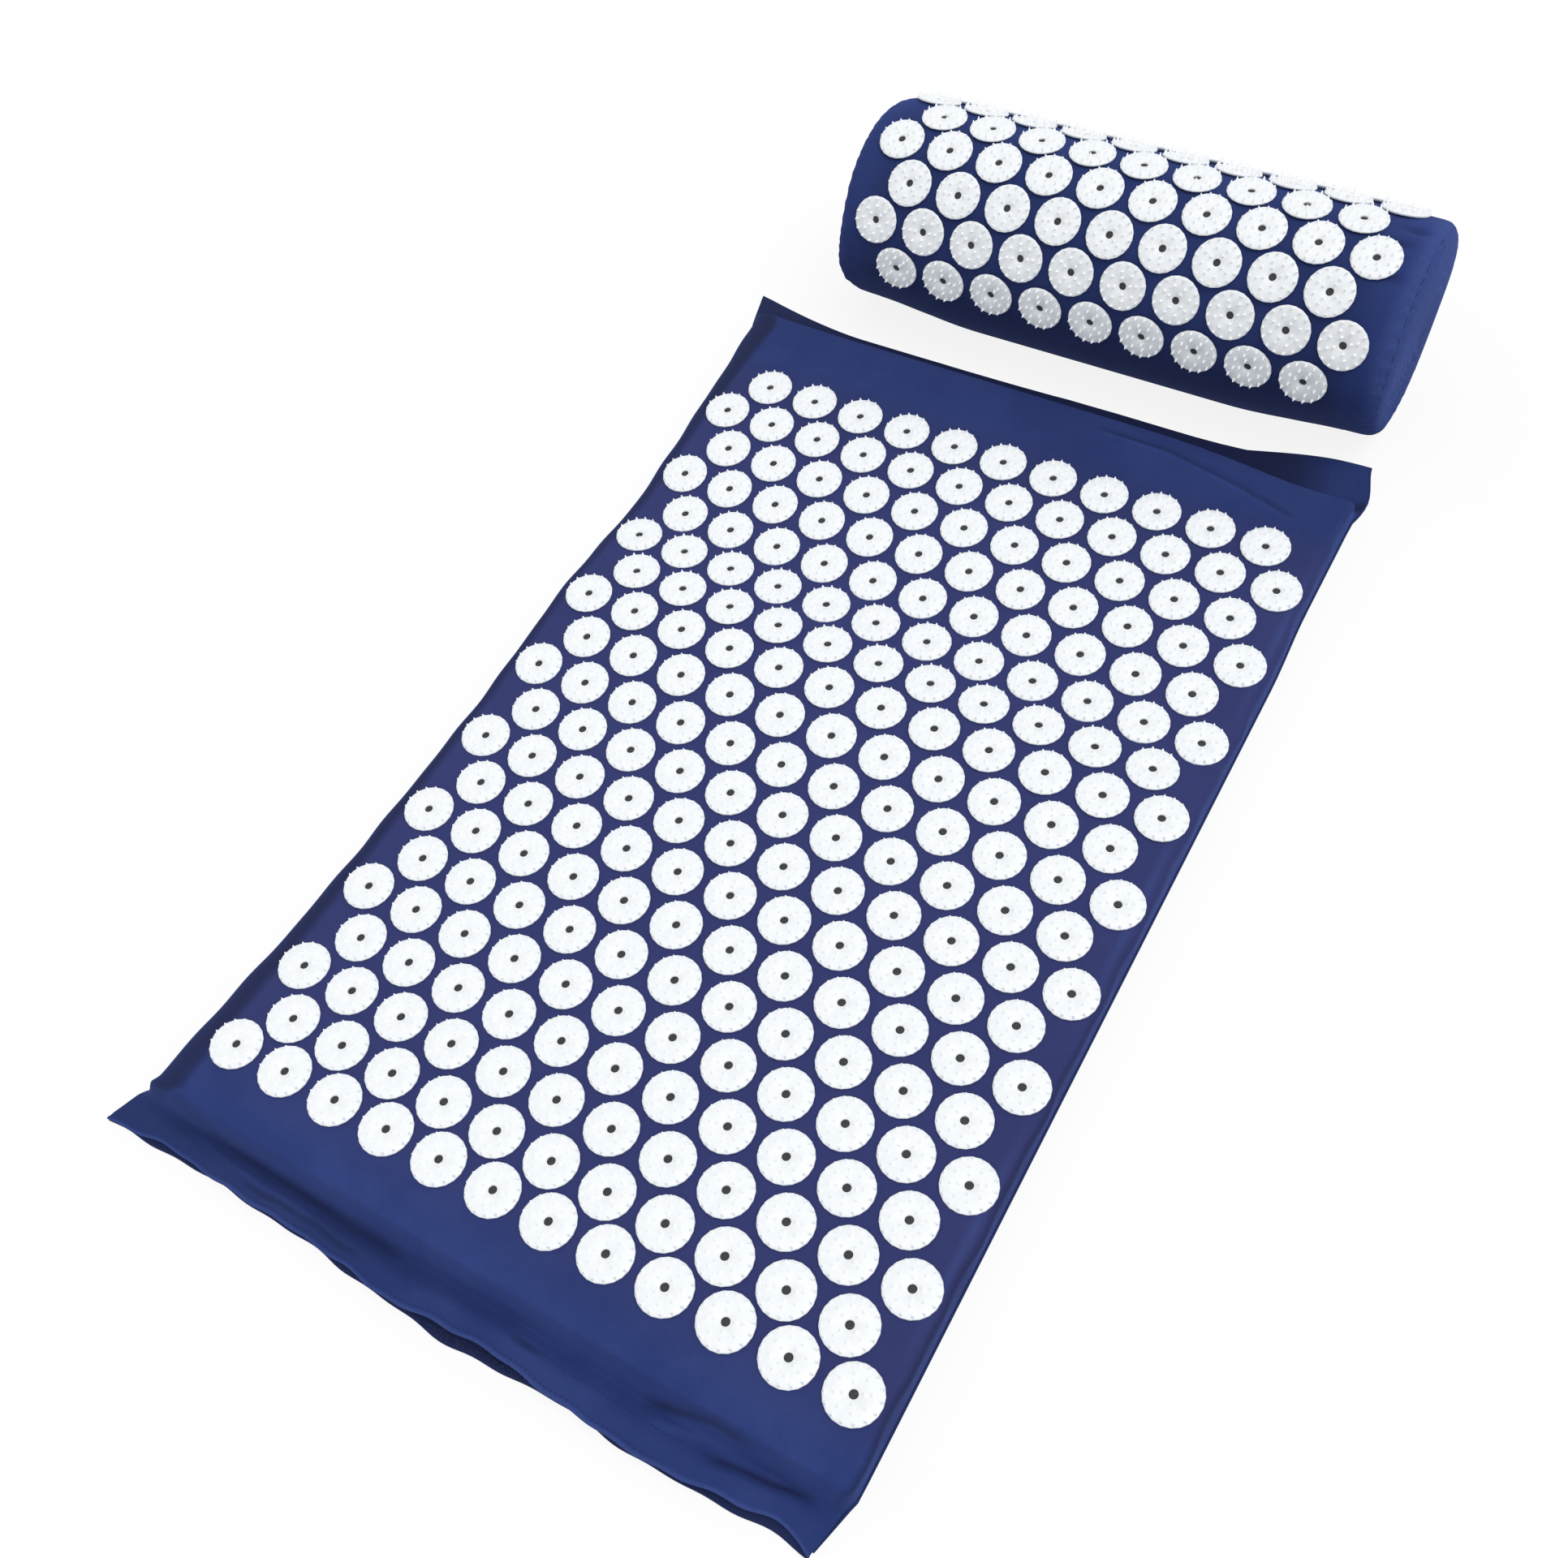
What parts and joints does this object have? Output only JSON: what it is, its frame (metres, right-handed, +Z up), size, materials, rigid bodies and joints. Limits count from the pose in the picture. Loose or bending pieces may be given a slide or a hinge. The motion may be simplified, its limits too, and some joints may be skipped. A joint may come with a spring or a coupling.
{
  "type": "acupressure mat with neck pillow",
  "caption": "Foam mat in a navy cotton sleeve covered in round white spiked discs, with a matching roll-shaped neck pillow in a zipped cover.",
  "frame": {"origin": "on the floor, on the mat's underside below the middle of its field of discs", "axes": "+Z up, +Y along the mat from its open end to the pillow, +X across it to the right"},
  "size_m": [0.4487, 0.8343, 0.1354],
  "materials": {
    "navy_cloth": "matt plain-weave cotton",
    "white_plastic": "satin moulded",
    "foam": "open-cell foam",
    "hook_and_loop": "napped strip",
    "seam_thread": "sewn edge",
    "zip_tape": "woven tape",
    "zip_coil": "moulded coil",
    "zip_metal": "plated die casting"
  },
  "bodies": {
    "mat": {"mat_top_panel": "navy_cloth", "mat_base_panel": "navy_cloth", "mat_foam_core": "foam", "mat_seam": "seam_thread", "mat_loop_strip": "hook_and_loop", "mat_hook_strip": "hook_and_loop"},
    "pillow": {"pillow_top_panel": "navy_cloth", "pillow_base_panel": "navy_cloth", "pillow_left_end": "navy_cloth", "pillow_right_end": "navy_cloth", "pillow_foam_core": "foam", "zip_upper_tape": "zip_tape", "zip_lower_tape": "zip_tape", "zip_chain": "zip_coil", "zip_left_stop": "zip_metal", "zip_right_stop": "zip_metal", "zip_left_tab": "navy_cloth", "zip_right_tab": "navy_cloth", "pillow_disc_1": "white_plastic", "pillow_disc_2": "white_plastic", "pillow_disc_3": "white_plastic", "pillow_disc_4": "white_plastic", "pillow_disc_5": "white_plastic", "pillow_disc_6": "white_plastic", "pillow_disc_7": "white_plastic", "pillow_disc_8": "white_plastic", "pillow_disc_9": "white_plastic"},
    "slider": {"zip_slider": "zip_metal"},
    "pull": {"zip_pull": "zip_metal"}
  },
  "joints": [
    {"name": "pillow_lift", "type": "slide", "parent": "mat", "child": "pillow", "axis": [0, 0, 1], "range_m": [0, 0.25]},
    {"name": "zip_slide", "type": "slide", "parent": "pillow", "child": "slider", "axis": [1, 0, 0], "range_m": [0, 0.295]},
    {"name": "pull_hinge", "type": "hinge", "parent": "slider", "child": "pull", "pos_m": [-0.1355, 0.49727, 0.07577], "axis": [0, -0.1736, 0.9848], "range_deg": [0, 180]}
  ]
}
